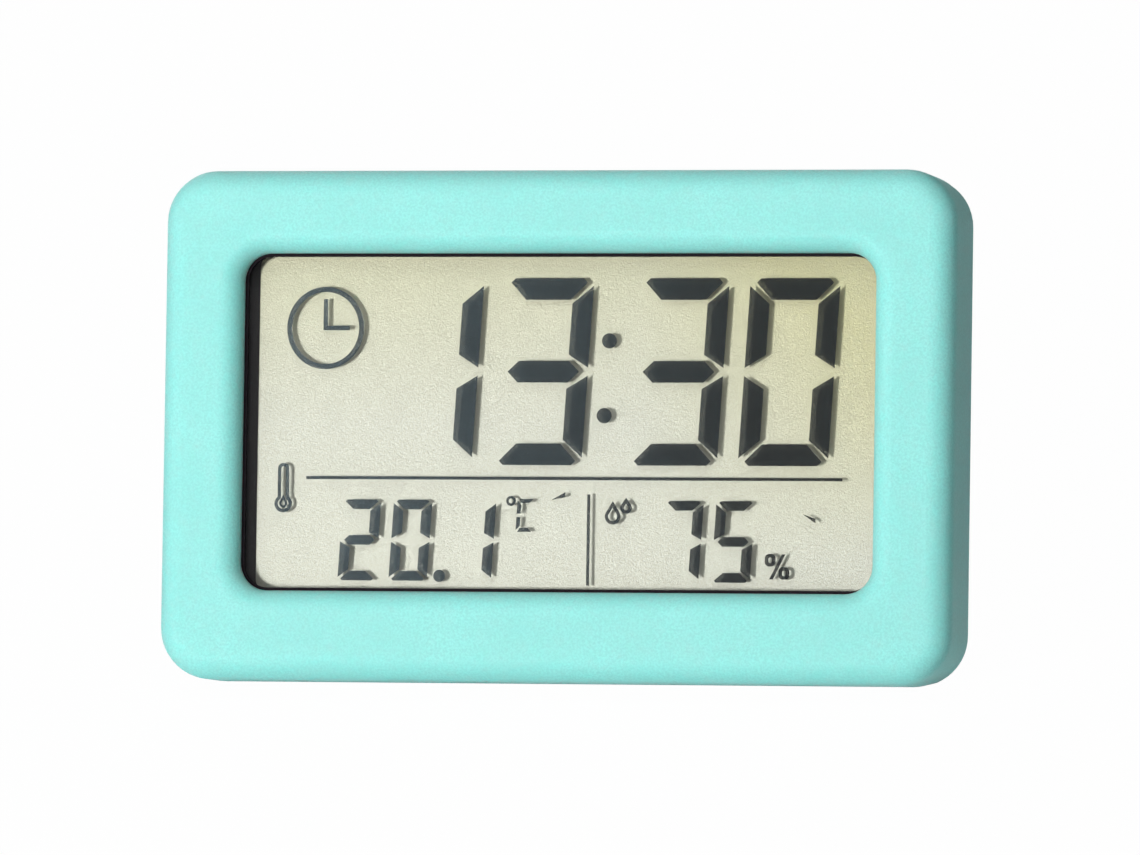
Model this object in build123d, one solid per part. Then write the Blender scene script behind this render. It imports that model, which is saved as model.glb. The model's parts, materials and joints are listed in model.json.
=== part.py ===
from build123d import *
import math
import os

os.makedirs("parts", exist_ok=True)

# A desk clock with an indoor thermometer and hygrometer. Millimetres.
# It is drawn upright: X to the right, Y from the front face to the back, Z up from the bottom edge.
# At the end every piece is leant back on the stand and moved so that the floor is at zero.

# Case
case_width = 101.2
case_height = 64.0
corner_radius = 6.5
front_edge_radius = 3.0
back_edge_radius = 1.2
wall = 1.8
face_wall = 2.0
back_wall = 1.6
rear_case_depth = 4.0
split_step = 0.15
tongue_reach = 1.2
tongue_root = 1.2
tongue_wall = 0.8
tongue_gap = 0.1

# Window and its rolled lip
side_border = 10.1
upper_border = 10.4
lower_border = 11.2
window_radius = 3.5
lip_radius = 2.6
lip_land = 0.6
collar_width = 2.4

# Display, listed from the front to the back
view_side_margin = 0.85
view_level_margin = 0.4
view_radius = 3.0
view_shift = 0.95
gasket_side_border = 1.85
gasket_level_border = 2.5
gasket_thickness = 0.5
film_thickness = 0.2
glass_side_rim = 0.5
glass_level_rim = 0.7
glass_thickness = 0.7
rear_glass_thickness = 1.1
contact_ledge = 2.5
cell_gap = 0.1
seal_width = 0.45
reflector_rim = 0.3
reflector_left_inset = 1.3
reflector_corner_radius = 1.6
gasket_left_relief = 1.4
lit_thickness = 0.06
lit_gap = 0.02
bond_gap = 0.02

# Lit bars and signs of the display
figure_slant_degrees = 3.3
large_upright_line = 2.6
large_level_line = 2.7
small_upright_line = 1.3
small_level_line = 1.2
colon_radius = 0.95
decimal_radius = 0.76
clock_icon_half_width = 4.98
clock_icon_half_height = 5.18
clock_icon_line = 0.64
hand_line = 0.56
long_hand = 3.9
short_hand = 3.4
divider_line = 0.38
icon_line = 0.42
bulb_radius = 1.12
tube_width = 1.45
tube_height = 5.1
tube_end_share = 0.49
bulb_drop_width = 1.0
bulb_drop_height = 1.6
bulb_drop_line = 0.26
large_drop_width = 2.0
large_drop_height = 2.9
small_drop_width = 1.45
small_drop_height = 2.0
degree_radius = 0.62
degree_line = 0.32
letter_width = 2.0
letter_height = 4.1
letter_line = 0.5
letter_gap = 0.22
percent_ring_width = 1.36
percent_ring_height = 1.56
percent_ring_line = 0.45
percent_ring_round_share = 0.4
percent_slash_width = 0.46
trend_thickness = 0.56

# Sizes of the figures, as shares of the view's width and height
time_figure_shares = (0.1441, 0.5627)
small_figure_shares = (0.0622, 0.244)

# Places on the display, as shares of the view's width and height from its centre
time_digit_left_shares = {"hour_tens": -0.2989, "hour_ones": -0.1209,
                          "minute_tens": 0.0972, "minute_ones": 0.2751}
time_digit_foot_share = -0.1256
colon_x_share = 0.0624
colon_z_share = 0.1363
colon_spread_share = 0.2
small_digit_foot_share = -0.4755
temperature_left_shares = {"tens": -0.3697, "ones": -0.2866, "tenths": -0.1826}
decimal_shares = (-0.2043, -0.4606)
humidity_left_shares = {"tens": 0.1521, "ones": 0.2347}
clock_icon_shares = (-0.3954, 0.2866)
thermometer_shares = (-0.4603, -0.2445)
large_drop_shares = (0.0752, -0.3029)
small_drop_shares = (0.0966, -0.2705)
degree_shares = (-0.0893, -0.2337)
letter_shares = (-0.0815, -0.3264)
percent_upper_shares = (0.3293, -0.4075)
percent_lower_shares = (0.3516, -0.4466)
slash_foot_shares = (0.331, -0.4647)
slash_top_shares = (0.3508, -0.3897)
level_divider_z_share = -0.1659
level_divider_end_shares = (-0.4231, 0.443)
upright_divider_x_share = 0.0362
upright_divider_end_shares = (-0.487, -0.213)
rising_mark_shares = ((-0.0245, -0.2308), (-0.0018, -0.2135))
falling_mark_shares = ((0.3806, -0.2695), (0.4009, -0.2897))

# Shape of a digit's bars, as shares of a level bar's thickness
mitre_share = 0.1
corner_cut_share = 0.2
end_outer_share = 0.36
end_inner_share = 0.18
waist_outer_share = 0.19
waist_inner_share = 0.79
tip_inset_share = 0.42

# Display holder
holder_gap = 0.15
holder_wall = 0.9
holder_web = 0.8
holder_corner_radius = 1.5
holder_foot = 1.18
strip_end_inset = 6.0
strip_thickness = 1.6
strip_slot_gap = 0.2

# Circuit board and what is soldered to it
board_thickness = 1.0
board_side_gap = 3.9
board_level_gap = 0.8
boss_clearance = 0.4
blob_radius = 6.0
blob_height = 1.3
blob_x = 1.0
blob_z = 24.0
crystal_radius = 1.0
crystal_length = 6.0
crystal_key_distance = 12.0
crystal_z = 24.0
lead_radius = 0.2
lead_length = 1.6
lead_pitch = 0.9
chip_capacitor = (2.0, 0.8, 1.25)
chip_capacitor_count = 4
chip_capacitor_drop = 17.0
chip_resistor = (1.6, 0.45, 0.8)
chip_resistor_count = 6
chip_resistor_drop = 12.0
chip_x = 10.0
chip_spacing = 3.2
sensor_size = 8.0
sensor_height = 1.8
sensor_hole_radius = 0.5
sensor_hole_distance = 1.6
sensor_hole_rows = 3
thermistor_radius = 0.8
thermistor_rise = 1.3
thermistor_distance = 9.0

# Corner screws and their bosses
screw_inset = 4.95
boss_radius = 2.6
rear_boss_radius = 3.0
boss_gap = 0.15
case_screw_radius = 0.95
case_screw_length = 7.0
case_screw_head_radius = 1.9
case_screw_head_height = 1.3
counterbore_radius = 2.1
counterbore_depth = 2.6
screw_clearance_radius = 1.15
thread_gap = 0.03
pilot_spare = 0.5
driver_slot_width = 0.5
driver_slot_length = 2.3
driver_slot_depth = 0.8

# Board screws and their posts
post_side_inset = 20.6
post_level_inset = 4.5
post_radius = 1.8
board_screw_radius = 0.8
board_screw_length = 4.5
board_screw_head_radius = 1.6
board_screw_head_height = 1.0
board_hole_radius = 1.1

# Battery well, cell and contacts
well_side_inset = 18.1
well_z = 24.0
well_radius = 13.6
well_wall = 1.2
well_floor = 0.6
well_rise = 0.3
cell_radius = 10.0
cell_height = 3.2
cell_room = 0.4
cell_edge_radius = 0.3
cell_button_radius = 8.9
cell_button_height = 0.35
rib_gap = 0.2
rib_wall = 1.0
rib_height = 2.1
contact_thickness = 0.2
contact_width = 3.0
contact_half = 3.0
leaf_reach = 4.0
contact_window = 7.0
positive_gap = 0.02
positive_foot = 2.4
positive_width = 4.0
positive_room = 0.5

# Battery cap
cap_opening_radius = 12.0
cap_gap = 0.2
cap_skirt_wall = 1.2
cap_skirt_depth = 1.2
cap_plate = 1.5
lug_count = 3
lug_reach = 1.2
lug_width = 4.6
lug_thickness = 0.8
lug_gap = 0.2
lug_room = 0.5
cap_turn = 45.0
first_lug_angle = 90.0
coin_slot_length = 14.0
coin_slot_width = 1.8
coin_slot_depth = 1.0
cap_edge_radius = 0.3

# Keys and their tact switches
key_names = ("set", "up", "down", "unit")
key_side_inset = 17.6
key_low_z = 11.5
key_pitch = 9.5
key_radius = 3.1
key_gap = 0.09
key_proud = 0.6
key_edge_radius = 0.5
key_flange_radius = 3.9
key_flange = 0.7
key_flange_gap = 0.2
key_mark = 1.1
key_mark_rise = 0.15
key_mark_line = 0.5
key_travel = 0.3
switch_size = 6.0
switch_height = 3.0
plunger_radius = 1.5
plunger_gap = 0.06
plunger_sink = 1.5
plunger_end_gap = 0.4

# Stand
lean_degrees = 18.0
rest_land = 3.2
stand_open_degrees = 34.0
stand_thickness = 2.0
stand_sink = 0.2
stand_pivot_drop = 27.0
stand_heel = 1.6
stand_tip_radius = 3.0
stand_edge_radius = 0.4
stand_spare = 2.0
stand_pin_radius = 0.9
stand_pin_reach = 1.5
stand_pin_gap = 0.06
stand_groove_width = 0.9
stand_groove_depth = 0.35
stand_groove_length = 14.0
stand_groove_pitch = 2.0
stand_groove_count = 3
stand_groove_rise = 5.0
recess_gap = 0.5
recess_wall = 1.2
recess_well_gap = 0.5
recess_head_room = 2.2
stop_gap = 0.05

# Hanging keyhole
keyhole_drop = 17.5
keyhole_radius = 3.6
keyhole_slot_radius = 1.8
keyhole_slot_rise = 7.0
keyhole_room = 1.0
keyhole_pocket_depth = 3.0
keyhole_pocket_wall = 1.0

# Vents over the humidity sensor
vent_side_inset = 21.6
vent_drop = 10.5
vent_width = 1.2
vent_height = 9.0
vent_pitch = 3.4
vent_count = 7

# Extra length of every cutting shape, so that it ends clear of what it cuts
overrun = 0.5
match_tolerance = 0.01

# Sizes and places that follow from those above
mid_z = case_height / 2
window_width = case_width - 2 * side_border
window_height = case_height - upper_border - lower_border
window_z = lower_border + window_height / 2
view_width = window_width - 2 * view_side_margin
view_height = window_height - 2 * view_level_margin
view_x = view_shift
gasket_width = view_width + 2 * gasket_side_border
gasket_height = view_height + 2 * gasket_level_border
glass_width = gasket_width + 2 * glass_side_rim
glass_height = gasket_height + 2 * glass_level_rim
rear_glass_height = glass_height - 2 * contact_ledge
reflector_height = rear_glass_height - 2 * reflector_rim
holder_width = glass_width + 2 * holder_gap + 2 * holder_wall
holder_height = glass_height + 2 * holder_gap + 2 * holder_wall
strip_length = glass_width - 2 * strip_end_inset
strip_z = (rear_glass_height + glass_height) / 4
board_width = case_width - 2 * wall - 2 * board_side_gap
board_height = case_height - 2 * wall - 2 * board_level_gap

# Depths, from the window's lip back to the battery cap
collar_back = lip_radius + lip_land
gasket_back = collar_back + gasket_thickness
film_back = gasket_back + film_thickness
front_glass_back = film_back + glass_thickness
lit_front = front_glass_back + lit_gap
lit_back = lit_front + lit_thickness
cell_back = front_glass_back + cell_gap
rear_glass_back = cell_back + rear_glass_thickness
reflector_front = rear_glass_back + bond_gap
reflector_back = reflector_front + film_thickness
web_back = reflector_back + holder_web
board_depth = web_back + holder_foot
board_back = board_depth + board_thickness
floor_front = board_back + well_rise
cell_front = floor_front + well_floor
cell_top = cell_front + cell_height
cap_inside = cell_top + cell_room
case_depth = cap_inside + cap_plate
back_inside = case_depth - back_wall
split_depth = case_depth - rear_case_depth
skirt_front = cap_inside - cap_skirt_depth
lug_back = back_inside - lug_gap
head_seat = case_depth - counterbore_depth
flange_back = back_inside - key_flange_gap
flange_front = flange_back - key_flange
plunger_front = board_back + switch_height - plunger_sink

# Places across the case
screw_places = [(sx * (case_width / 2 - screw_inset), mid_z + sz * (case_height / 2 - screw_inset))
                for sx in (-1, 1) for sz in (-1, 1)]
post_places = [(sx * (case_width / 2 - post_side_inset), mid_z + sz * (case_height / 2 - post_level_inset))
               for sx in (-1, 1) for sz in (-1, 1)]
well_x = well_side_inset - case_width / 2
cap_radius = cap_opening_radius - cap_gap
key_x = case_width / 2 - key_side_inset
key_places = {name: key_low_z + key_pitch * (len(key_names) - 1 - turn)
              for turn, name in enumerate(key_names)}
crystal_x = key_x - crystal_key_distance
vent_x = vent_side_inset - case_width / 2
vent_z = case_height - vent_drop
thermistor_x = vent_x + thermistor_distance
keyhole_z = case_height - keyhole_drop
keyhole_slot_z = keyhole_z + keyhole_slot_rise

# Stand, from the lean and the place of its hinge
rest_y = case_depth - rest_land
pivot_y = case_depth - stand_sink - stand_thickness / 2
stand_pivot_z = case_height - stand_pivot_drop
recess_half = -well_x - well_radius - well_wall - recess_well_gap - recess_wall
stand_width = 2 * (recess_half - recess_gap)
lean_tan = math.tan(math.radians(lean_degrees))
open_sin = math.sin(math.radians(stand_open_degrees))
open_cos = math.cos(math.radians(stand_open_degrees))
stand_length = (stand_pivot_z - (pivot_y - rest_y) * lean_tan) / (open_cos + open_sin * lean_tan)
heel_depth = stand_thickness / 2 * open_cos + stand_heel * open_sin
recess_floor = pivot_y - heel_depth - stop_gap
recess_top = stand_pivot_z + recess_head_room


# Helpers

def facing(depth):
    """Sketch plane at a depth, seen from the front: its x is X and its y is Z."""
    return Plane(origin=(0, depth, 0), x_dir=(1, 0, 0), z_dir=(0, -1, 0))


def prism(sketch, front, back):
    """A sketch made solid between two depths."""
    return extrude(facing(back) * sketch, amount=back - front, dir=(0, -1, 0))


def disc(x, z, radius, front, back):
    return prism(Pos(x, z) * Circle(radius), front, back)


def block(left, right, low, high, front, back):
    sketch = Pos((left + right) / 2, (low + high) / 2) * Rectangle(right - left, high - low)
    return prism(sketch, front, back)


def rounded(width, height, radius, x, z):
    return Pos(x, z) * RectangleRounded(width, height, radius)


def outline(inset):
    """The case's outline, drawn in by an inset."""
    return rounded(case_width - 2 * inset, case_height - 2 * inset, corner_radius - inset, 0, mid_z)


def flat_shape(points):
    """A closed outline through corner points."""
    return make_face(Polyline(*points, close=True))


def along_x(radius, left, right, y, z):
    """A round bar along X."""
    return Pos((left + right) / 2, y, z) * Cylinder(radius, right - left, rotation=(0, 90, 0))


def view_place(x_share, z_share):
    """A place on the display from its shares of the view."""
    return view_x + x_share * view_width, window_z + z_share * view_height


def lit(sketch):
    """A dark sign in the liquid crystal, just behind the front glass."""
    return prism(sketch, lit_front, lit_back)


def gathered(pieces):
    """Separate solids kept as one group."""
    return Compound([solid for piece in pieces for solid in piece.solids()])


def below_floor():
    """Everything under the floor that the leaning clock stands on."""
    side = 2 * case_width
    under = Box(side, side, case_height, align=(Align.CENTER, Align.CENTER, Align.MAX))
    return Pos(0, rest_y, 0) * Rot(X=lean_degrees) * under


# Case

def front_case():
    shell = prism(outline(0), 0, split_depth)
    shell = fillet(shell.edges().group_by(Axis.Y)[0], front_edge_radius)
    shell -= prism(outline(wall), face_wall, split_depth + overrun)
    collar = rounded(window_width + 2 * collar_width, window_height + 2 * collar_width,
                     window_radius + collar_width, 0, window_z)
    shell += prism(collar, face_wall - overrun, collar_back)
    window = rounded(window_width, window_height, window_radius, 0, window_z)
    shell -= prism(window, -overrun, collar_back + overrun)
    lip_edges = [edge for edge in shell.edges()
                 if abs(edge.center().Y) < match_tolerance
                 and abs(edge.center().X) < window_width / 2 + match_tolerance
                 and abs(edge.center().Z - window_z) < window_height / 2 + match_tolerance]
    shell = fillet(lip_edges, lip_radius)
    for x, z in screw_places:
        shell += disc(x, z, boss_radius, face_wall - overrun, split_depth)
    for x, z in screw_places:
        pilot_front = head_seat - case_screw_length - pilot_spare
        shell -= disc(x, z, case_screw_radius + thread_gap, pilot_front, split_depth + overrun)
    for x, z in post_places:
        shell += disc(x, z, post_radius, face_wall - overrun, board_depth)
    for x, z in post_places:
        pilot_front = board_back - board_screw_length - pilot_spare
        shell -= disc(x, z, board_screw_radius + thread_gap, pilot_front, board_depth + overrun)
    return shell


def stand_recess():
    """The hollow that the folded stand lies in, open at the bottom edge."""
    return block(-recess_half, recess_half, -overrun, recess_top, recess_floor, case_depth + overrun)


def cap_notches():
    """Ways in for the battery cap's lugs, a turn away from where they lock."""
    sketch = Sketch()
    reach = lug_reach + cap_gap + cap_skirt_wall
    for turn in range(lug_count):
        angle = first_lug_angle - cap_turn + turn * 360 / lug_count
        middle = cap_radius + lug_reach + cap_gap - reach / 2
        notch = Pos(middle, 0) * Rectangle(reach, lug_width + 2 * lug_room)
        sketch += Pos(well_x, well_z) * Rot(Z=angle) * notch
    return prism(sketch, back_inside - overrun, case_depth + overrun)


def battery_well():
    """The cup that holds the coin cell, with a rib round the cell and ways in for both contacts."""
    cup = disc(well_x, well_z, well_radius + well_wall, floor_front, back_inside + overrun)
    cup -= disc(well_x, well_z, well_radius, cell_front, case_depth + overrun)
    rib_radius = cell_radius + rib_gap
    rib = disc(well_x, well_z, rib_radius + rib_wall, cell_front - well_floor / 2, cell_front + rib_height)
    rib -= disc(well_x, well_z, rib_radius, floor_front - overrun, cell_front + rib_height + overrun)
    cup += rib
    half_window = contact_window / 2
    cup -= block(well_x - half_window, well_x + half_window, well_z - half_window, well_z + half_window,
                 floor_front - overrun, cell_front + overrun)
    tab_x = well_x + cell_radius
    half_tab = positive_width / 2 + positive_room
    cup -= block(tab_x - positive_room, tab_x + rib_gap + rib_wall + positive_room, well_z - half_tab,
                 well_z + half_tab, floor_front - overrun, cell_front + rib_height + overrun)
    return cup


def keyhole_pocket(grow):
    """The box behind the keyhole, or its inside when it isn't grown."""
    half = keyhole_radius + keyhole_room + grow
    low = keyhole_z - half
    high = keyhole_slot_z + keyhole_radius + keyhole_room + grow
    front = back_inside - keyhole_pocket_depth - grow
    return block(-half, half, low, high, front, back_inside + (overrun if grow else 0))


def rear_case():
    shell = prism(outline(split_step), split_depth, case_depth)
    shell = fillet(shell.edges().group_by(Axis.Y)[-1], back_edge_radius)
    shell -= prism(outline(split_step + wall), split_depth - overrun, back_inside)
    tongue_inset = wall + tongue_gap
    tongue = prism(outline(tongue_inset) - outline(tongue_inset + tongue_wall),
                   split_depth - tongue_reach, split_depth + tongue_root)
    root = prism(outline(wall) - outline(tongue_inset + tongue_wall), split_depth, split_depth + tongue_root)
    shell += tongue + root
    for x, z in screw_places:
        shell -= disc(x, z, boss_radius + boss_gap, split_depth - tongue_reach - overrun, split_depth)
    for x, z in screw_places:
        shell += disc(x, z, rear_boss_radius, split_depth, back_inside + overrun)
    box_half = recess_half + recess_wall
    shell += block(-box_half, box_half, wall + tongue_gap, recess_top + recess_wall,
                   recess_floor - recess_wall, back_inside + overrun)
    shell += battery_well()
    shell += keyhole_pocket(keyhole_pocket_wall)
    shell -= stand_recess()
    pin_reach = box_half + overrun / 2
    shell -= along_x(stand_pin_radius + stand_pin_gap, -pin_reach, pin_reach, pivot_y, stand_pivot_z)
    shell -= keyhole_pocket(0)
    shell -= disc(0, keyhole_z, keyhole_radius, back_inside - overrun, case_depth + overrun)
    shell -= disc(0, keyhole_slot_z, keyhole_slot_radius, back_inside - overrun, case_depth + overrun)
    shell -= block(-keyhole_slot_radius, keyhole_slot_radius, keyhole_z, keyhole_slot_z,
                   back_inside - overrun, case_depth + overrun)
    shell -= disc(well_x, well_z, cap_opening_radius, back_inside - overrun, case_depth + overrun)
    shell -= cap_notches()
    for z in key_places.values():
        shell -= disc(key_x, z, key_radius + key_gap, back_inside - overrun, case_depth + overrun)
    for turn in range(vent_count):
        x = vent_x + (turn - (vent_count - 1) / 2) * vent_pitch
        slot = Pos(x, vent_z) * SlotOverall(vent_height, vent_width, rotation=90)
        shell -= prism(slot, back_inside - overrun, case_depth + overrun)
    for x, z in screw_places:
        shell -= disc(x, z, counterbore_radius, head_seat, case_depth + overrun)
        shell -= disc(x, z, screw_clearance_radius, split_depth - overrun, head_seat + overrun)
    return shell - below_floor()


# Display

def display_gasket():
    """A black frame that reaches further out at the left."""
    opening_width = view_width + gasket_left_relief
    opening_x = view_x - gasket_left_relief / 2
    ring = rounded(gasket_width, gasket_height, view_radius, view_x, window_z)
    ring -= rounded(opening_width, view_height, view_radius, opening_x, window_z)
    return prism(ring, collar_back, gasket_back)


def front_polarizer():
    sheet = Pos(view_x, window_z) * Rectangle(gasket_width, gasket_height)
    return prism(sheet, gasket_back, film_back)


def lcd_front_glass():
    sheet = Pos(view_x, window_z) * Rectangle(glass_width, glass_height)
    return prism(sheet, film_back, front_glass_back)


def cell_seal():
    ring = Pos(view_x, window_z) * Rectangle(glass_width, rear_glass_height)
    inner_width = glass_width - 2 * seal_width
    inner_height = rear_glass_height - 2 * seal_width
    ring -= Pos(view_x, window_z) * Rectangle(inner_width, inner_height)
    return prism(ring, front_glass_back, cell_back)


def lcd_rear_glass():
    sheet = Pos(view_x, window_z) * Rectangle(glass_width, rear_glass_height)
    return prism(sheet, cell_back, rear_glass_back)


def lcd_reflector():
    """A sheet that ends short of the glass at the left, where the black holder shows beside it."""
    sheet = rounded(gasket_width - reflector_left_inset, reflector_height, reflector_corner_radius,
                    view_x + reflector_left_inset / 2, window_z)
    return prism(sheet, reflector_front, reflector_back)


# Signs on the display

def bar_outlines(width, height, side, level):
    """Corners of the seven bars of an upright digit, from its lower left corner."""
    middle = height / 2
    nick = mitre_share * level
    cut = corner_cut_share * level
    outer = end_outer_share * level
    inner = level + end_inner_share * level
    waist_outer = waist_outer_share * level
    waist_inner = waist_inner_share * level
    tip = tip_inset_share * level
    half = level / 2
    top = [(nick + cut, height - cut), (nick + 2 * cut, height), (width - nick - 2 * cut, height),
           (width - nick - cut, height - cut), (width - side - nick, height - level),
           (side + nick, height - level)]
    bottom = [(width - x, height - z) for x, z in top]
    upper_right = [(width, height - outer), (width, middle + waist_outer),
                   (width - side, middle + waist_inner), (width - side, height - inner)]
    lower_right = [(x, height - z) for x, z in upper_right]
    upper_left = [(width - x, z) for x, z in upper_right]
    lower_left = [(width - x, height - z) for x, z in upper_right]
    centre = [(tip, middle), (tip + half, middle + half), (width - tip - half, middle + half),
              (width - tip, middle), (width - tip - half, middle - half), (tip + half, middle - half)]
    return {"a": top, "b": upper_right, "c": lower_right, "d": bottom,
            "e": lower_left, "f": upper_left, "g": centre}


lit_bars = {"0": "abcdef", "1": "bc", "2": "abged", "3": "abgcd", "5": "afgcd", "7": "abc"}


def slanted(points, x, z):
    """Points leant to the right and moved to a place."""
    slope = math.tan(math.radians(figure_slant_degrees))
    return [(x + px + pz * slope, z + pz) for px, pz in points]


def digits(figures, left_shares, foot_share, size_shares, side, level):
    """Lit bars of a row of figures."""
    bars = bar_outlines(size_shares[0] * view_width, size_shares[1] * view_height, side, level)
    pieces = []
    for figure, left_share in zip(figures, left_shares.values()):
        left, foot = view_place(left_share, foot_share)
        pieces += [lit(flat_shape(slanted(bars[name], left, foot))) for name in lit_bars[figure]]
    return pieces


def time_digits():
    return gathered(digits("1330", time_digit_left_shares, time_digit_foot_share, time_figure_shares,
                           large_upright_line, large_level_line))


def time_colon():
    x, z = view_place(colon_x_share, colon_z_share)
    rise = colon_spread_share * time_figure_shares[1] * view_height
    places = slanted([(0, -rise), (0, rise)], x, z)
    return gathered([lit(Pos(px, pz) * Circle(colon_radius)) for px, pz in places])


def small_digits(figures, left_shares):
    return digits(figures, left_shares, small_digit_foot_share, small_figure_shares,
                  small_upright_line, small_level_line)


def temperature_digits():
    point = Pos(*view_place(*decimal_shares)) * Circle(decimal_radius)
    return gathered(small_digits("201", temperature_left_shares) + [lit(point)])


def humidity_digits():
    return gathered(small_digits("75", humidity_left_shares))


def clock_icon():
    x, z = view_place(*clock_icon_shares)
    hole_half_width = clock_icon_half_width - clock_icon_line
    hole_half_height = clock_icon_half_height - clock_icon_line
    ring = Ellipse(clock_icon_half_width, clock_icon_half_height) - Ellipse(hole_half_width, hole_half_height)
    half = hand_line / 2
    upright = Pos(x, z + long_hand / 2 - half) * Rectangle(hand_line, long_hand)
    level = Pos(x + short_hand / 2 - half, z) * Rectangle(short_hand, hand_line)
    return gathered([lit(Pos(x, z) * ring), lit(upright + level)])


def thermometer_icon():
    x, z = view_place(*thermometer_shares)

    def shape(inset):
        width = tube_width - 2 * inset
        height = tube_height - inset
        tube = rounded(width, height, width * tube_end_share, x, z + height / 2)
        return Pos(x, z) * Circle(bulb_radius - inset) + tube

    inner_drop = drop(x, z - bulb_drop_width / 2, bulb_drop_width, bulb_drop_height, bulb_drop_line)
    return gathered([lit(shape(0) - shape(icon_line)), inner_drop])


def drop(x, low, width, height, line):
    """Outline of a water drop whose lowest point is at x, low."""
    def shape(inset):
        radius = width / 2 - inset
        centre = low + width / 2
        reach = (height - width / 2) * radius / (width / 2)
        sine = radius / reach
        cosine = math.sqrt(1 - sine * sine)
        sides = [(x, centre + reach), (x + radius * cosine, centre + radius * sine),
                 (x - radius * cosine, centre + radius * sine)]
        return Pos(x, centre) * Circle(radius) + flat_shape(sides)

    return lit(shape(0) - shape(line))


def humidity_icon():
    large_x, large_z = view_place(*large_drop_shares)
    small_x, small_z = view_place(*small_drop_shares)
    return gathered([drop(large_x, large_z, large_drop_width, large_drop_height, icon_line),
                     drop(small_x, small_z, small_drop_width, small_drop_height, icon_line)])


def letter_bars(x, z):
    """A letter C made of four bars."""
    line = letter_line
    middle = letter_height / 2
    gap = letter_gap
    low = [(gap, 0), (letter_width, 0), (letter_width - line, line), (line, line)]
    high = [(px, letter_height - pz) for px, pz in low]
    lower = [(0, gap), (line, line + gap), (line, middle - gap), (0, middle - gap)]
    upper = [(px, letter_height - pz) for px, pz in lower]
    return [lit(flat_shape(slanted(points, x, z))) for points in (low, high, lower, upper)]


def unit_symbols():
    x, z = view_place(*degree_shares)
    degree = Pos(x, z) * (Circle(degree_radius) - Circle(degree_radius - degree_line))
    pieces = [lit(degree)] + letter_bars(*view_place(*letter_shares))
    for shares in (percent_upper_shares, percent_lower_shares):
        px, pz = view_place(*shares)
        outside = rounded(percent_ring_width, percent_ring_height,
                          percent_ring_round_share * percent_ring_width, px, pz)
        hole_width = percent_ring_width - 2 * percent_ring_line
        hole_height = percent_ring_height - 2 * percent_ring_line
        inside = rounded(hole_width, hole_height, percent_ring_round_share * hole_width, px, pz)
        pieces.append(lit(outside - inside))
    foot_x, foot_z = view_place(*slash_foot_shares)
    top_x, top_z = view_place(*slash_top_shares)
    half = percent_slash_width / 2
    slash = [(foot_x - half, foot_z), (foot_x + half, foot_z), (top_x + half, top_z), (top_x - half, top_z)]
    pieces.append(lit(flat_shape(slash)))
    return gathered(pieces)


def trend_marks():
    pieces = []
    for (start, end) in (rising_mark_shares, falling_mark_shares):
        tip = view_place(*start)
        x, z = view_place(*end)
        half = trend_thickness / 2
        pieces.append(lit(flat_shape([tip, (x, z - half), (x, z + half)])))
    return gathered(pieces)


def divider_lines():
    half = divider_line / 2
    left, z = view_place(level_divider_end_shares[0], level_divider_z_share)
    right = view_place(level_divider_end_shares[1], level_divider_z_share)[0]
    x, low = view_place(upright_divider_x_share, upright_divider_end_shares[0])
    high = view_place(upright_divider_x_share, upright_divider_end_shares[1])[1]
    return gathered([block(left, right, z - half, z + half, lit_front, lit_back),
                     block(x - half, x + half, low, high, lit_front, lit_back)])


# Display holder and its connectors

def strip_slot(side, gap):
    """One connector strip, or its slot in the holder when a gap is given."""
    z = window_z + side * strip_z
    half_length = strip_length / 2 + gap
    half = strip_thickness / 2 + gap
    return view_x - half_length, view_x + half_length, z - half, z + half


def lcd_frame():
    body = prism(rounded(holder_width, holder_height, holder_corner_radius, view_x, window_z),
                 film_back, board_depth)
    pocket = Pos(view_x, window_z) * Rectangle(glass_width + 2 * holder_gap, glass_height + 2 * holder_gap)
    body -= prism(pocket, film_back - overrun, reflector_back)
    body -= prism(pocket, web_back, board_depth + overrun)
    for side in (-1, 1):
        body -= block(*strip_slot(side, strip_slot_gap), reflector_back - overrun, web_back + overrun)
    return body


def contact_strip(side):
    return block(*strip_slot(side, 0), front_glass_back, board_depth)


# Circuit board

def circuit_board():
    board = prism(Pos(0, mid_z) * Rectangle(board_width, board_height), board_depth, board_back)
    for x, z in screw_places:
        board -= disc(x, z, boss_radius + boss_clearance, board_depth - overrun, board_back + overrun)
    for x, z in post_places:
        board -= disc(x, z, board_hole_radius, board_depth - overrun, board_back + overrun)
    return board


def controller_blob():
    """A low dome over the chip."""
    ball = (blob_radius ** 2 + blob_height ** 2) / (2 * blob_height)
    dome = Pos(blob_x, board_back + blob_height - ball, blob_z) * Sphere(ball)
    return dome & disc(blob_x, blob_z, blob_radius, board_back, board_back + blob_height)


def crystal():
    y = board_back + crystal_radius
    can = along_x(crystal_radius, crystal_x, crystal_x + crystal_length, y, crystal_z)
    far = crystal_x - lead_length
    for side in (-1, 1):
        low = crystal_z + side * lead_pitch / 2 - lead_radius
        high = low + 2 * lead_radius
        can += block(far, crystal_x + lead_length, low, high, y - lead_radius, y + lead_radius)
        can += block(far, far + 2 * lead_radius, low, high, board_back, y + lead_radius)
    return can


def chips(size, count, x, z):
    """A row of small parts soldered flat on the board's back."""
    length, height, width = size
    pieces = []
    for turn in range(count):
        left = x + turn * chip_spacing
        pieces.append(block(left, left + length, z, z + width, board_back, board_back + height))
    return gathered(pieces)


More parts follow.
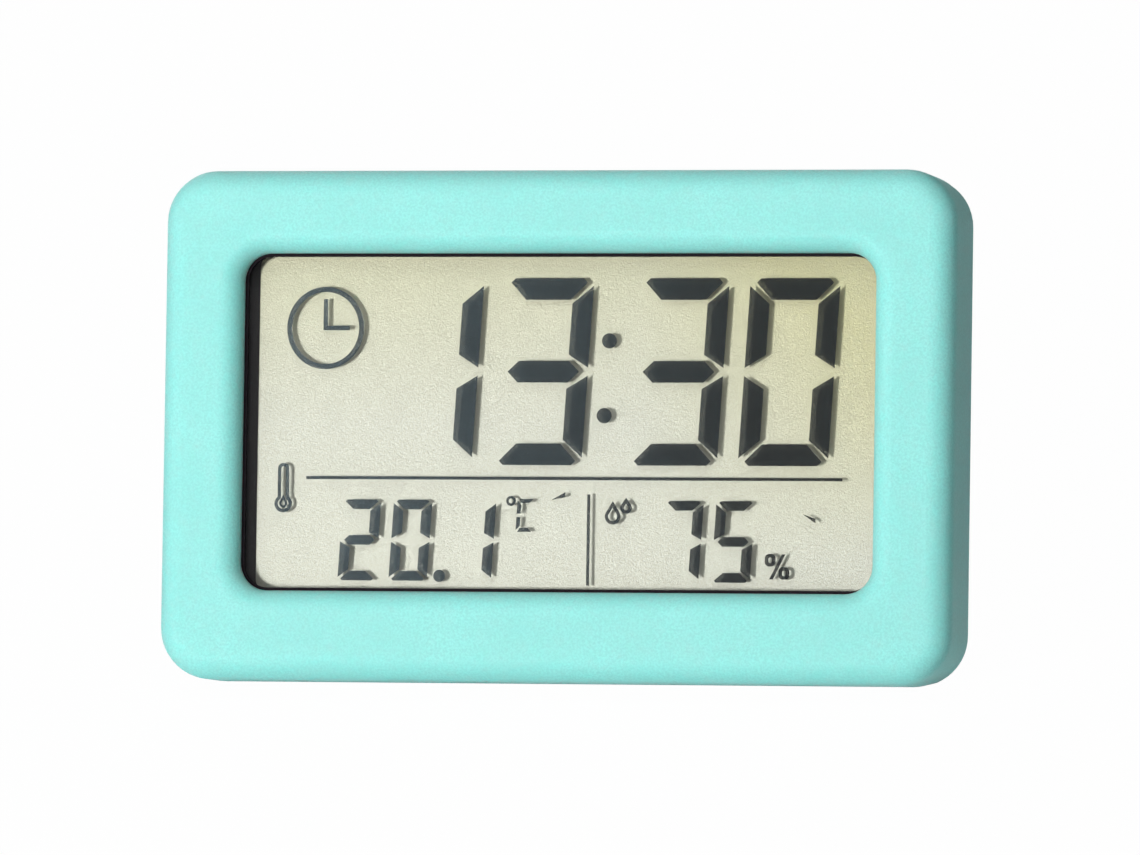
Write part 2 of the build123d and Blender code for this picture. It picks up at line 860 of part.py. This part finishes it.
def humidity_sensor():
    half = sensor_size / 2
    body = block(vent_x - half, vent_x + half, vent_z - half, vent_z + half,
                 board_back, board_back + sensor_height)
    middle = (sensor_hole_rows - 1) / 2
    for column in range(sensor_hole_rows):
        for row in range(sensor_hole_rows):
            x = vent_x + (column - middle) * sensor_hole_distance
            z = vent_z + (row - middle) * sensor_hole_distance
            body -= disc(x, z, sensor_hole_radius, board_back + sensor_height / 2,
                         board_back + sensor_height + overrun)
    return body


def thermistor():
    bead_y = board_back + thermistor_rise + thermistor_radius
    bead = Pos(thermistor_x, bead_y, vent_z) * Sphere(thermistor_radius)
    for side in (-1, 1):
        bead += disc(thermistor_x + side * lead_pitch / 2, vent_z, lead_radius, board_back, bead_y)
    return bead


def switch_housing(z):
    half = switch_size / 2
    body = block(key_x - half, key_x + half, z - half, z + half, board_back, board_back + switch_height)
    return body - disc(key_x, z, plunger_radius + plunger_gap, plunger_front - key_travel - plunger_end_gap,
                       board_back + switch_height + overrun)


# Battery

def coin_cell():
    can_front = cell_front + cell_button_height
    can = disc(well_x, well_z, cell_radius, can_front, cell_top)
    can = fillet(can.edges().filter_by(GeomType.CIRCLE), cell_edge_radius)
    return can + disc(well_x, well_z, cell_button_radius, cell_front, can_front + cell_edge_radius)


def negative_contact():
    """A strip folded back on itself: its foot is on the board and its leaf under the cell."""
    half = contact_half
    low = well_z - contact_width / 2
    high = well_z + contact_width / 2
    foot = block(well_x - half, well_x + half, low, high, board_back, board_back + contact_thickness)
    riser = block(well_x + half - contact_thickness, well_x + half, low, high, board_back, cell_front)
    leaf = block(well_x + half - leaf_reach, well_x + half, low, high,
                 cell_front - contact_thickness, cell_front)
    return foot + riser + leaf


def positive_contact():
    """An upright tab against the cell's rim, on a foot on the board."""
    inner = well_x + cell_radius + positive_gap
    half = positive_width / 2
    foot = block(inner, inner + positive_foot, well_z - half, well_z + half, board_back,
                 board_back + contact_thickness)
    tab = block(inner, inner + contact_thickness, well_z - half, well_z + half, board_back,
                cell_front + rib_height)
    return foot + tab


def battery_cap():
    plate = disc(well_x, well_z, cap_radius, cap_inside, case_depth)
    plate = fillet(plate.edges().group_by(Axis.Y)[-1], cap_edge_radius)
    skirt = disc(well_x, well_z, cap_radius, skirt_front, cap_inside)
    skirt -= disc(well_x, well_z, cap_radius - cap_skirt_wall, skirt_front - overrun, cap_inside)
    lugs = Sketch()
    reach = lug_reach + cap_skirt_wall / 2
    for turn in range(lug_count):
        angle = first_lug_angle + turn * 360 / lug_count
        middle = cap_radius + lug_reach - reach / 2
        lugs += Pos(well_x, well_z) * Rot(Z=angle) * Pos(middle, 0) * Rectangle(reach, lug_width)
    cap = plate + skirt + prism(lugs, lug_back - lug_thickness, lug_back)
    half = coin_slot_length / 2
    half_width = coin_slot_width / 2
    return cap - block(well_x - half, well_x + half, well_z - half_width, well_z + half_width,
                       case_depth - coin_slot_depth, case_depth + overrun)


# Fasteners

def screw(x, z, seat, radius, length, head_radius, head_height):
    """A cross-head screw whose head sits at a depth and whose shaft points to the front."""
    head = disc(x, z, head_radius, seat, seat + head_height)
    shaft = disc(x, z, radius, seat - length, seat)
    half = driver_slot_length / 2
    half_width = driver_slot_width / 2
    deep = seat + head_height - driver_slot_depth
    cross = block(x - half, x + half, z - half_width, z + half_width, deep, seat + head_height + overrun)
    cross += block(x - half_width, x + half_width, z - half, z + half, deep, seat + head_height + overrun)
    return head + shaft - cross


def case_screws():
    return gathered([screw(x, z, head_seat, case_screw_radius, case_screw_length,
                           case_screw_head_radius, case_screw_head_height) for x, z in screw_places])


def board_screws():
    return gathered([screw(x, z, board_back, board_screw_radius, board_screw_length,
                           board_screw_head_radius, board_screw_head_height) for x, z in post_places])


# Keys

def key_sign(name):
    """The small raised sign on a key's top, seen from the front."""
    size = key_mark
    line = key_mark_line
    if name == "up":
        return flat_shape([(-size, -size / 2), (size, -size / 2), (0, size)])
    if name == "down":
        return flat_shape([(-size, size / 2), (size, size / 2), (0, -size)])
    if name == "set":
        return Circle(size) - Circle(size - line)
    return Rectangle(2 * size, line)


def key(name, z):
    top = case_depth + key_proud
    button = disc(key_x, z, key_radius, flange_front, top)
    button = fillet(button.edges().group_by(Axis.Y)[-1], key_edge_radius)
    button += disc(key_x, z, key_flange_radius, flange_front, flange_back)
    return button + prism(Pos(key_x, z) * key_sign(name), top - key_mark_rise, top + key_mark_rise)


def plunger(z):
    return disc(key_x, z, plunger_radius, plunger_front, flange_front)


# Stand

def stand():
    """The hinged leaf, opened until its heel meets the recess floor, with its foot cut by the floor."""
    below = stand_length + stand_spare
    height = below + stand_heel
    leaf = prism(rounded(stand_width, height, stand_tip_radius, 0, (stand_heel - below) / 2),
                 -stand_thickness / 2, stand_thickness / 2)
    square_top = block(-stand_width / 2, stand_width / 2, -stand_tip_radius, stand_heel,
                       -stand_thickness / 2, stand_thickness / 2)
    leaf += square_top
    leaf = fillet(leaf.edges().group_by(Axis.Y)[-1], stand_edge_radius)
    for turn in range(stand_groove_count):
        z = stand_groove_rise + turn * stand_groove_pitch - stand_length
        leaf -= block(-stand_groove_length / 2, stand_groove_length / 2, z, z + stand_groove_width,
                      stand_thickness / 2 - stand_groove_depth, stand_thickness / 2 + overrun)
    side = stand_width / 2
    for sign in (-1, 1):
        ends = sorted((sign * (side - overrun), sign * (side + stand_pin_reach)))
        leaf += along_x(stand_pin_radius, *ends, 0, 0)
    return Pos(0, pivot_y, stand_pivot_z) * Rot(X=stand_open_degrees) * leaf - below_floor()


# All pieces, upright

pieces = {
    "front_case": front_case(),
    "rear_case": rear_case(),
    "display_gasket": display_gasket(),
    "front_polarizer": front_polarizer(),
    "lcd_front_glass": lcd_front_glass(),
    "cell_seal": cell_seal(),
    "lcd_rear_glass": lcd_rear_glass(),
    "lcd_reflector": lcd_reflector(),
    "time_digits": time_digits(),
    "time_colon": time_colon(),
    "temperature_digits": temperature_digits(),
    "humidity_digits": humidity_digits(),
    "clock_icon": clock_icon(),
    "thermometer_icon": thermometer_icon(),
    "humidity_icon": humidity_icon(),
    "unit_symbols": unit_symbols(),
    "trend_marks": trend_marks(),
    "divider_lines": divider_lines(),
    "lcd_frame": lcd_frame(),
    "contact_strip_upper": contact_strip(1),
    "contact_strip_lower": contact_strip(-1),
    "circuit_board": circuit_board(),
    "controller_blob": controller_blob(),
    "crystal": crystal(),
    "capacitors": chips(chip_capacitor, chip_capacitor_count, chip_x, case_height - chip_capacitor_drop),
    "resistors": chips(chip_resistor, chip_resistor_count, chip_x, case_height - chip_resistor_drop),
    "humidity_sensor": humidity_sensor(),
    "thermistor": thermistor(),
    "coin_cell": coin_cell(),
    "negative_contact": negative_contact(),
    "positive_contact": positive_contact(),
    "battery_cap": battery_cap(),
    "case_screws": case_screws(),
    "board_screws": board_screws(),
    "stand": stand(),
}
for key_name, key_z in key_places.items():
    pieces["switch_" + key_name] = switch_housing(key_z)
    pieces["key_" + key_name] = key(key_name, key_z)
    pieces["plunger_" + key_name] = plunger(key_z)

# Leaning back by the lean about the rest line, then centred in depth over the floor.
leaning = Rot(X=-lean_degrees) * Pos(0, -rest_y, 0)
boxes = [(leaning * pieces[name]).bounding_box() for name in ("front_case", "rear_case", "stand")]
depth_middle = (min(box.min.Y for box in boxes) + max(box.max.Y for box in boxes)) / 2
placing = Pos(0, -depth_middle, 0) * leaning

for node, piece in pieces.items():
    solids = [placing * solid for solid in piece.solids()]
    placed = solids[0] if len(solids) == 1 else Compound(children=solids)
    export_step(placed, os.path.join("parts", node + ".step"))
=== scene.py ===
import json
import math
import bpy
from mathutils import Matrix, Vector


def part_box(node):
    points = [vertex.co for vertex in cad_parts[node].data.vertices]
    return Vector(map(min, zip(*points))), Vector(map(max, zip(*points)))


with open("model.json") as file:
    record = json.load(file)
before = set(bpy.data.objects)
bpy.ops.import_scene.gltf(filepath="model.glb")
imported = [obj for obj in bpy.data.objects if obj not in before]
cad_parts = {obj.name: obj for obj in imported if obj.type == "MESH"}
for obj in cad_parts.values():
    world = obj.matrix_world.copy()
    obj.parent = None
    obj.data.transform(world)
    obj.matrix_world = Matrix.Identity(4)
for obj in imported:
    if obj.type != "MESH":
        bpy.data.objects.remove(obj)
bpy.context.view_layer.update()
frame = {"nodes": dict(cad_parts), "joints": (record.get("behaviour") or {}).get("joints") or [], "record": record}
nodes = frame["nodes"]
scene = bpy.context.scene
mm = 0.001

# The photograph's frame and the camera that was fitted to it.
# Yaw, pitch and roll are measured from the square-on view of the front face.
image_width = 1140
image_height = 855
focal_pixels = 10694.5
face_centre_pixel = (551.66, 424.63)
view_yaw = math.radians(13.0)
view_pitch = math.radians(3.0)
view_roll = math.radians(0.87)
view_distance = 1.332
sensor_width = 36.0
clip_near = 0.05
clip_far = 50.0

# Where the front glass's middle lies from the middle of the case's front face, upright.
glass_right = 0.95 * mm
glass_deep = 4.25 * mm
glass_high = 0.4 * mm

# The leaning case's own directions, from the battery cap's axis
cap_axis = Vector(next(j["axis"] for j in frame["joints"] if j["name"] == "battery_cap_turn"))
right = Vector((1, 0, 0))
inward = cap_axis.normalized()
upward = right.cross(inward).normalized()
case_turn = Matrix((right, inward, upward)).transposed()


def middle(node):
    low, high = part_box(node)
    return (low + high) / 2


face_centre = middle("lcd_front_glass") - case_turn @ Vector((glass_right, glass_deep, glass_high))


# Shader helpers

noise_roughness = 0.55


class Finish:
    """A node material with one principled shader, and short ways to feed it."""

    def __init__(self, name, colour, roughness, specular=0.5, metallic=0.0):
        self.material = bpy.data.materials.new(name)
        self.material.use_nodes = True
        self.tree = self.material.node_tree
        self.shader = self.tree.nodes["Principled BSDF"]
        self.set("Base Color", (*colour, 1.0))
        self.set("Roughness", roughness)
        self.set("Specular IOR Level", specular)
        self.set("Metallic", metallic)
        self.coordinates = self.tree.nodes.new("ShaderNodeTexCoord").outputs["Object"]

    def set(self, socket, value):
        self.shader.inputs[socket].default_value = value

    def link(self, output, socket):
        self.tree.links.new(output, self.shader.inputs[socket])

    def add(self, kind, **sockets):
        node = self.tree.nodes.new(kind)
        for name, value in sockets.items():
            socket = node.inputs[name.replace("_", " ")]
            if isinstance(value, bpy.types.NodeSocket):
                self.tree.links.new(value, socket)
            else:
                socket.default_value = value
        return node

    def noise(self, size, detail=2.0, stretch=(1, 1, 1)):
        """Noise whose blots are about as wide as a size, from 0 to 1."""
        place = self.add("ShaderNodeMapping", Vector=self.coordinates, Scale=stretch)
        texture = self.add("ShaderNodeTexNoise", Vector=place.outputs["Vector"], Scale=1 / size,
                           Detail=detail, Roughness=noise_roughness)
        return texture.outputs["Fac"]

    def spread(self, value, low, high, to_low=0.0, to_high=1.0):
        """A value moved from one range to another, and held inside it."""
        node = self.add("ShaderNodeMapRange", Value=value, From_Min=low, From_Max=high,
                        To_Min=to_low, To_Max=to_high)
        return node.outputs["Result"]

    def along(self, axis):
        """How far a point lies along an axis, in metres."""
        return self.add("ShaderNodeSeparateXYZ", Vector=self.coordinates).outputs[axis]

    def mix(self, factor, first, second):
        """A colour between two. The colour sockets of the mix node are 6 and 7, and its result is 2."""
        node = self.tree.nodes.new("ShaderNodeMix")
        node.data_type = "RGBA"
        sockets = node.inputs[0], node.inputs[6], node.inputs[7]
        for socket, value in zip(sockets, (factor, first, second)):
            if isinstance(value, bpy.types.NodeSocket):
                self.tree.links.new(value, socket)
            elif isinstance(value, tuple):
                socket.default_value = (*value, 1.0)
            else:
                socket.default_value = value
        return node.outputs[2]

    def bump(self, height, distance, after=None):
        """Relief as deep as a distance, on top of the relief that comes before it."""
        node = self.add("ShaderNodeBump", Height=height, Distance=distance, Strength=1.0)
        if after is not None:
            self.tree.links.new(after, node.inputs["Normal"])
        self.link(node.outputs["Normal"], "Normal")
        return node.outputs["Normal"]


def tinted(colour, factor):
    return tuple(channel * factor for channel in colour)


# Materials

turquoise = (0.34, 0.81, 0.765)


def case_plastic(name, colour):
    """Matt moulded plastic that light enters a little: cloudy colour, fine grain and faint waves."""
    cloud_size = 9 * mm
    grain_size = 0.28 * mm
    grain_depth = 0.02 * mm
    wave_size = 1.3 * mm
    wave_depth = 0.014 * mm
    light_depth = 2.2 * mm
    finish = Finish(name, colour, 0.6)
    clouds = finish.noise(cloud_size, 3)
    grain = finish.noise(grain_size)
    cloudy = finish.mix(finish.spread(clouds, 0.35, 0.65), tinted(colour, 0.975), tinted(colour, 1.02))
    speckled = finish.mix(finish.spread(grain, 0.35, 0.65), cloudy, tinted(colour, 0.9))
    finish.link(speckled, "Base Color")
    finish.link(finish.spread(grain, 0.3, 0.7, 0.55, 0.65), "Roughness")
    finish.set("Subsurface Weight", 0.8)
    finish.set("Subsurface Radius", (0.3, 1.0, 0.95))
    finish.set("Subsurface Scale", light_depth)
    waves = finish.bump(finish.noise(wave_size), wave_depth)
    finish.bump(grain, grain_depth, after=waves)
    return finish.material


def key_plastic():
    """Pale plastic with a fine grain."""
    colour = (0.80, 0.86, 0.85)
    grain_size = 0.25 * mm
    grain_depth = 0.01 * mm
    finish = Finish("key_plastic", colour, 0.4)
    grain = finish.noise(grain_size)
    finish.link(finish.mix(finish.spread(grain, 0.3, 0.7), tinted(colour, 0.96), colour), "Base Color")
    finish.bump(grain, grain_depth)
    return finish.material


def gasket_foam():
    """Black foam with small open cells."""
    cell_size = 0.18 * mm
    cell_depth = 0.05 * mm
    hollow = (0.008, 0.006, 0.008)
    skin = (0.024, 0.017, 0.022)
    finish = Finish("gasket_foam", skin, 0.9, 0.1)
    cells = finish.noise(cell_size, 3)
    finish.link(finish.mix(finish.spread(cells, 0.3, 0.7), hollow, skin), "Base Color")
    finish.bump(cells, cell_depth)
    return finish.material


def clear_sheet(name, colour, alpha, roughness):
    """Glass or film that lets the display behind it show."""
    etch_size = 0.12 * mm
    etch_depth = 0.004 * mm
    finish = Finish(name, colour, roughness)
    finish.set("Alpha", alpha)
    etch = finish.noise(etch_size)
    finish.link(finish.mix(etch, tinted(colour, 0.94), colour), "Base Color")
    finish.bump(etch, etch_depth)
    return finish.material


def crystal_marks():
    """Dark liquid crystal that lets a little light through, cloudy and grained; it is paler to the left, which is
    painted light standing in for more of the lit reflector showing through the crystal there.
    """
    cloud_size = 7 * mm
    grain_size = 0.35 * mm
    left_end = -30 * mm
    right_end = 25 * mm
    left_painted_light_tone = (0.056, 0.086, 0.102)
    right_tone = (0.004, 0.008, 0.010)
    cloud_tone = (0.006, 0.009, 0.011)
    grain_tone = (0.03, 0.042, 0.047)
    finish = Finish("crystal_marks", cloud_tone, 0.5, 0.1)
    finish.set("Alpha", 0.71)
    clouds = finish.noise(cloud_size)
    grain = finish.noise(grain_size, 1)
    # Painted light: the pale left tone fades into the dark right tone across the display.
    tone = finish.mix(finish.spread(finish.along("X"), left_end, right_end), left_painted_light_tone, right_tone)
    cloudy = finish.mix(finish.spread(clouds, 0.35, 0.7, 0, 0.35), tone, cloud_tone)
    finish.link(finish.mix(finish.spread(grain, 0.4, 0.8, 0, 0.2), cloudy, grain_tone), "Base Color")
    return finish.material


def display_reflector():
    """Grained reflecting film behind the cell, yellower and darker to the top and the right: the yellower hue is
    the film's own, the darkening is painted shade standing in for the lamps' light falling off across the display.
    """
    grain_size = 0.24 * mm
    grain_depth = 0.04 * mm
    plain_tone = (0.428, 0.434, 0.376)
    shaded_yellow_tone = (0.402, 0.390, 0.226)
    grain_tone = (0.300, 0.300, 0.225)
    finish = Finish("display_reflector", plain_tone, 0.52, metallic=0.8)
    low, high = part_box("lcd_reflector")
    across = finish.spread(finish.along("X"), low.x, high.x)
    rise = finish.spread(finish.along("Z"), low.z, high.z)
    # Painted shade: the share of the darker, yellower tone grows to the top and the right.
    share = finish.add("ShaderNodeMath")
    share.operation = "MULTIPLY_ADD"
    finish.tree.links.new(finish.spread(across, 0.6, 1, 0, 0.8), share.inputs[0])
    finish.tree.links.new(finish.spread(rise, 0.1, 0.5), share.inputs[1])
    finish.tree.links.new(finish.spread(rise, 0.5, 1, 0, 0.6), share.inputs[2])
    tone = finish.mix(share.outputs["Value"], plain_tone, shaded_yellow_tone)
    grain = finish.noise(grain_size)
    finish.link(finish.mix(finish.spread(grain, 0.35, 0.65, 0, 0.4), tone, grain_tone), "Base Color")
    finish.bump(grain, grain_depth)
    return finish.material


def plain_plastic(name, colour, roughness, grain_size=0.3 * mm):
    """One-colour plastic or resin with a fine grain."""
    grain_depth = 0.01 * mm
    finish = Finish(name, colour, roughness)
    grain = finish.noise(grain_size)
    finish.link(finish.mix(grain, tinted(colour, 0.9), colour), "Base Color")
    finish.bump(grain, grain_depth)
    return finish.material


def board_lacquer():
    """Green lacquer over copper tracks."""
    track_pitch = 6 * mm
    track_depth = 0.02 * mm
    lacquer = (0.012, 0.13, 0.055)
    over_track = (0.03, 0.24, 0.10)
    finish = Finish("board_lacquer", lacquer, 0.3)
    tracks = finish.add("ShaderNodeTexBrick", Vector=finish.coordinates, Scale=1 / track_pitch,
                        Mortar_Size=0.05)
    finish.link(finish.mix(tracks.outputs["Fac"], lacquer, over_track), "Base Color")
    finish.bump(tracks.outputs["Fac"], track_depth)
    return finish.material


def plated_metal(name, colour, roughness):
    """Plated steel with fine turning or rolling marks."""
    mark_size = 0.4 * mm
    mark_depth = 0.006 * mm
    finish = Finish(name, colour, roughness, metallic=1.0)
    marks = finish.noise(mark_size, 3, stretch=(1, 1, 6))
    finish.link(finish.spread(marks, 0.3, 0.7, roughness - 0.08, roughness + 0.1), "Roughness")
    finish.link(finish.mix(marks, tinted(colour, 0.85), colour), "Base Color")
    finish.bump(marks, mark_depth)
    return finish.material


def striped_rubber():
    """Layers of carbon and plain rubber, side by side along the strip."""
    stripe_scale = 1.2 * mm
    carbon = (0.03, 0.03, 0.03)
    rubber = (0.55, 0.55, 0.52)
    finish = Finish("striped_rubber", rubber, 0.7)
    stripes = finish.add("ShaderNodeTexWave", Vector=finish.coordinates, Scale=1 / stripe_scale)
    finish.link(finish.mix(stripes.outputs["Fac"], carbon, rubber), "Base Color")
    return finish.material


finishes = {
    "case": case_plastic("case_plastic", turquoise),
    "stand": case_plastic("stand_plastic", tinted(turquoise, 0.97)),
    "battery_cap": case_plastic("cap_plastic", tinted(turquoise, 0.98)),
    "keys": key_plastic(),
    "gasket": gasket_foam(),
    "film": clear_sheet("anti_glare_film", (0.4, 0.4, 0.4), 0.01, 0.4),
    "cell_glass": clear_sheet("cell_glass", (0.4, 0.42, 0.4), 0.004, 0.1),
    "seal": plain_plastic("cell_resin", (0.6, 0.6, 0.55), 0.4),
    "marks": crystal_marks(),
    "reflector": display_reflector(),
    "holder": plain_plastic("holder_plastic", (0.02, 0.016, 0.019), 0.8),
    "connector": striped_rubber(),
    "board": board_lacquer(),
    "resin": plain_plastic("black_resin", (0.012, 0.012, 0.013), 0.25, 1.5 * mm),
    "steel": plated_metal("nickel", (0.72, 0.70, 0.66), 0.3),
    "screws": plated_metal("zinc", (0.62, 0.63, 0.64), 0.35),
    "chips": plain_plastic("chip_ceramic", (0.34, 0.25, 0.18), 0.5),
    "sensor": plain_plastic("sensor_shell", (0.75, 0.76, 0.74), 0.5),
    "switches": plain_plastic("switch_plastic", (0.02, 0.02, 0.022), 0.4),
    "plungers": plain_plastic("plunger_plastic", (0.78, 0.84, 0.83), 0.45),
}
slot_of = {part["node"]: part["material_slot"] for part in frame["record"]["subparts"]}
for name, node in nodes.items():
    node.data.materials.clear()
    node.data.materials.append(finishes[slot_of[name]])


# Camera

def place_camera():
    """The fitted camera, turned with the leaning case."""
    data = bpy.data.cameras.new("camera")
    camera = bpy.data.objects.new("camera", data)
    scene.collection.objects.link(camera)
    data.sensor_fit = "HORIZONTAL"
    data.sensor_width = sensor_width
    data.lens = focal_pixels / image_width * sensor_width
    data.clip_start = clip_near
    data.clip_end = clip_far
    data.shift_x = (image_width / 2 - face_centre_pixel[0]) / image_width
    data.shift_y = (face_centre_pixel[1] - image_height / 2) / image_width
    away = Vector((math.sin(view_yaw) * math.cos(view_pitch), -math.cos(view_yaw) * math.cos(view_pitch),
                   -math.sin(view_pitch)))
    look = -away
    level = look.cross(Vector((0, 0, 1))).normalized()
    above = level.cross(look)
    rolled = math.cos(view_roll) * level + math.sin(view_roll) * above
    over = -math.sin(view_roll) * level + math.cos(view_roll) * above
    turn = case_turn @ Matrix((rolled, over, away)).transposed()
    place = face_centre + view_distance * (case_turn @ away)
    camera.matrix_world = Matrix.Translation(place) @ turn.to_4x4()
    scene.camera = camera


place_camera()


# Stage and light

floor_half = 3.0
floor_colour = (0.84, 0.90, 0.91)
floor_white_share = 0.985
lamp_distance = 1.1
lamps = {
    "key": {"azimuth": -20.5, "elevation": 10, "size": 0.16, "power": 7.6},
    "fill": {"azimuth": -55, "elevation": 12, "size": 0.8, "power": 1.6},
    "top": {"azimuth": 10, "elevation": 55, "size": 0.6, "power": 4.6},
    "rear": {"azimuth": -155, "elevation": 22, "size": 0.8, "power": 4.0},
}
sky_colour = (0.88, 0.97, 1)
sky_strength = 0.03


def backdrop_finish(name, colour, share):
    """A pale surface that takes shadows, and shows nearly white to the camera and in reflections."""
    material = bpy.data.materials.new(name)
    material.use_nodes = True
    tree = material.node_tree
    shader = tree.nodes["Principled BSDF"]
    shader.inputs["Base Color"].default_value = (*colour, 1)
    shader.inputs["Roughness"].default_value = 0.9
    glow = tree.nodes.new("ShaderNodeEmission")
    glow.inputs["Strength"].default_value = 1.0
    path = tree.nodes.new("ShaderNodeLightPath")
    seen = path.outputs["Is Camera Ray"]
    for output in ("Is Glossy Ray", "Is Transmission Ray"):
        either = tree.nodes.new("ShaderNodeMath")
        either.operation = "MAXIMUM"
        tree.links.new(seen, either.inputs[0])
        tree.links.new(path.outputs[output], either.inputs[1])
        seen = either.outputs["Value"]
    part = tree.nodes.new("ShaderNodeMath")
    part.operation = "MULTIPLY"
    tree.links.new(seen, part.inputs[0])
    part.inputs[1].default_value = share
    mix = tree.nodes.new("ShaderNodeMixShader")
    tree.links.new(part.outputs["Value"], mix.inputs["Fac"])
    tree.links.new(shader.outputs["BSDF"], mix.inputs[1])
    tree.links.new(glow.outputs["Emission"], mix.inputs[2])
    tree.links.new(mix.outputs["Shader"], tree.nodes["Material Output"].inputs["Surface"])
    return material


def make_floor():
    """The table under the clock, wide enough to fill the picture."""
    corners = [(-floor_half, -floor_half, 0), (floor_half, -floor_half, 0),
               (floor_half, floor_half, 0), (-floor_half, floor_half, 0)]
    mesh = bpy.data.meshes.new("floor")
    mesh.from_pydata(corners, [], [(0, 1, 2, 3)])
    floor = bpy.data.objects.new("floor", mesh)
    scene.collection.objects.link(floor)
    mesh.materials.append(backdrop_finish("floor_white", floor_colour, floor_white_share))


def make_lamp(name, azimuth, elevation, size, power):
    """A square soft lamp aimed at the clock. Its azimuth is 0 in front and grows to the right."""
    data = bpy.data.lights.new(name, "AREA")
    data.size = size
    data.energy = power
    lamp = bpy.data.objects.new(name, data)
    scene.collection.objects.link(lamp)
    turn, rise = math.radians(azimuth), math.radians(elevation)
    towards = Vector((math.sin(turn) * math.cos(rise), -math.cos(turn) * math.cos(rise), math.sin(rise)))
    lamp.location = face_centre + lamp_distance * towards
    lamp.rotation_mode = "QUATERNION"
    lamp.rotation_quaternion = towards.to_track_quat("Z", "Y")


def make_world():
    """A dim sky that the camera sees as white."""
    world = bpy.data.worlds.new("studio")
    scene.world = world
    world.use_nodes = True
    tree = world.node_tree
    dim = tree.nodes["Background"]
    dim.inputs["Color"].default_value = (*sky_colour, 1)
    dim.inputs["Strength"].default_value = sky_strength
    white = tree.nodes.new("ShaderNodeBackground")
    white.inputs["Strength"].default_value = 1.0
    path = tree.nodes.new("ShaderNodeLightPath")
    mix = tree.nodes.new("ShaderNodeMixShader")
    tree.links.new(path.outputs["Is Camera Ray"], mix.inputs["Fac"])
    tree.links.new(dim.outputs["Background"], mix.inputs[1])
    tree.links.new(white.outputs["Background"], mix.inputs[2])
    tree.links.new(mix.outputs["Shader"], tree.nodes["World Output"].inputs["Surface"])


make_floor()
for lamp_name, setting in lamps.items():
    make_lamp(lamp_name, **setting)
make_world()
scene.view_settings.view_transform = "Standard"
# The display lies behind several clear sheets, which light passes twice.
scene.cycles.transparent_max_bounces = 32
